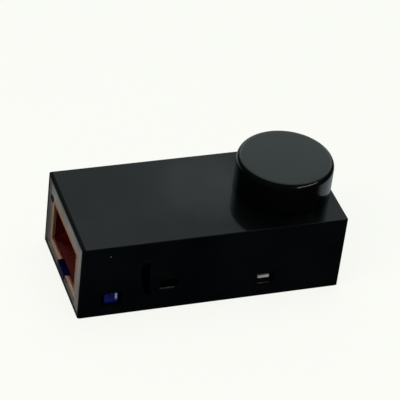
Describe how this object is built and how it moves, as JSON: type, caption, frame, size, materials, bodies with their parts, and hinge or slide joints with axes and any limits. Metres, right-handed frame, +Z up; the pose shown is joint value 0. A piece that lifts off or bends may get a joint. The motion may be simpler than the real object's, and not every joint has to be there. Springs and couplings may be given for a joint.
{
  "type": "bill validator",
  "caption": "Black box-shaped bank note validator with a note mouth at one end, a large round feed knob on top and a slide-out tray in the mouth.",
  "frame": {"origin": "centre of the base plate's underside, in the plane the box stands on", "axes": "+X along the box from the note mouth to the knob end, +Y across it to the far side, +Z up"},
  "size_m": [0.2237, 0.104, 0.0974],
  "materials": {
    "case_black": "satin",
    "zinc_steel": "zinc plated",
    "brass": "turned",
    "bezel_grey": "matt moulded",
    "copper_metal": "copper coloured, brushed",
    "deep_red": "translucent deep red",
    "guide_black": "matt moulded",
    "frame_steel": "zinc plated sheet",
    "bush_bronze": "sintered bronze",
    "board_green": "solder resist",
    "chip_black": "moulded",
    "head_metal": "ground",
    "clear_plastic": "clear moulded",
    "motor_can": "zinc plated",
    "belt_rubber": "matt",
    "connector_black": "moulded",
    "gold_pins": "gold plated",
    "socket_metal": "nickel plated",
    "tongue_grey": "moulded",
    "knob_black": "gloss moulded",
    "shaft_steel": "ground",
    "gear_white": "moulded acetal",
    "pulley_black": "moulded",
    "pinion_brass": "cut",
    "tyre_rubber": "matt",
    "blue_plastic": "satin moulded",
    "blue_button": "gloss moulded",
    "clear_grey": "moulded"
  },
  "bodies": {
    "case": {"housing": "case_black", "base_plate": "case_black", "base_screws": "zinc_steel", "mounting_inserts": "brass", "mouth_bezel": "bezel_grey", "mouth_liner": "copper_metal", "entry_funnel": "deep_red", "tray_rails": "guide_black", "upper_guide": "guide_black", "lower_guide": "guide_black", "exit_deflector": "guide_black", "side_frame_near": "frame_steel", "side_frame_far": "frame_steel", "tie_bars": "zinc_steel", "shaft_bushes": "bush_bronze", "control_board": "board_green", "board_components": "chip_black", "board_screws": "zinc_steel", "upper_sensor_board": "board_green", "magnetic_head": "head_metal", "light_pipe": "clear_plastic", "encoder_sensor": "chip_black", "drive_motor": "motor_can", "motor_bracket": "frame_steel", "front_belt": "belt_rubber", "rear_belt": "belt_rubber", "rear_connector": "connector_black", "rear_connector_pins": "gold_pins", "service_socket_shell": "socket_metal", "service_socket_tongue": "tongue_grey", "service_board": "board_green", "switch_body": "chip_black", "switch_board": "board_green", "knob_bush": "bush_bronze"},
    "knob": {"knob_cap": "knob_black", "knob_spindle": "shaft_steel", "knob_bevel_gear": "gear_white", "spindle_clip": "zinc_steel"},
    "counter_drive": {"counter_shaft": "shaft_steel", "shaft_bevel_gear": "gear_white", "drive_gear": "gear_white", "drive_pulley": "pulley_black"},
    "motor_rotor": {"motor_shaft": "shaft_steel", "motor_pinion": "pinion_brass"},
    "front_feed": {"front_feed_shaft": "shaft_steel", "front_feed_tyres": "tyre_rubber", "front_pulley": "pulley_black", "encoder_disc": "pulley_black"},
    "rear_feed": {"rear_feed_shaft": "shaft_steel", "rear_feed_tyres": "tyre_rubber", "rear_pulley": "pulley_black"},
    "rear_pinch": {"rear_pinch_roller": "gear_white"},
    "tray": {"tray_body": "deep_red", "tray_ramp": "deep_red", "pull_tab": "blue_plastic", "lower_sensor_board": "board_green"},
    "front_pinch": {"front_pinch_roller": "gear_white"},
    "button": {"service_button": "blue_button", "switch_plunger": "clear_grey"}
  },
  "joints": [
    {"name": "knob_turn", "type": "hinge", "parent": "case", "child": "knob", "pos_m": [0.071, 0, 0.068], "axis": [0, 0, 1], "continuous": true},
    {"name": "counter_shaft_turn", "type": "hinge", "parent": "case", "child": "counter_drive", "pos_m": [0.071, 0, 0.04], "axis": [0, 1, 0], "continuous": true},
    {"name": "motor_turn", "type": "hinge", "parent": "case", "child": "motor_rotor", "pos_m": [0.0875, 0, 0.027], "axis": [0, 1, 0], "continuous": true},
    {"name": "front_feed_turn", "type": "hinge", "parent": "case", "child": "front_feed", "pos_m": [-0.055, 0, 0.04], "axis": [0, 1, 0], "continuous": true},
    {"name": "rear_feed_turn", "type": "hinge", "parent": "case", "child": "rear_feed", "pos_m": [0.008, 0, 0.04], "axis": [0, 1, 0], "continuous": true},
    {"name": "rear_pinch_turn", "type": "hinge", "parent": "case", "child": "rear_pinch", "pos_m": [0.008, 0, 0.0227], "axis": [0, 1, 0], "continuous": true},
    {"name": "tray_slide", "type": "slide", "parent": "case", "child": "tray", "axis": [-1, 0, 0], "range_m": [0, 0.06]},
    {"name": "front_pinch_turn", "type": "hinge", "parent": "tray", "child": "front_pinch", "pos_m": [-0.055, 0, 0.0227], "axis": [0, 1, 0], "continuous": true},
    {"name": "button_press", "type": "slide", "parent": "case", "child": "button", "axis": [0, 1, 0], "range_m": [0, 0.0013], "stiffness_N_per_m": 300, "springref_m": -0.001}
  ],
  "couplings": [
    {"joint": "counter_shaft_turn", "follows": "knob_turn", "ratio": -1},
    {"joint": "front_feed_turn", "follows": "knob_turn", "ratio": -1},
    {"joint": "rear_feed_turn", "follows": "knob_turn", "ratio": -1},
    {"joint": "motor_turn", "follows": "knob_turn", "ratio": 4},
    {"joint": "rear_pinch_turn", "follows": "knob_turn", "ratio": 1.4286},
    {"joint": "front_pinch_turn", "follows": "knob_turn", "ratio": 1.4286}
  ]
}
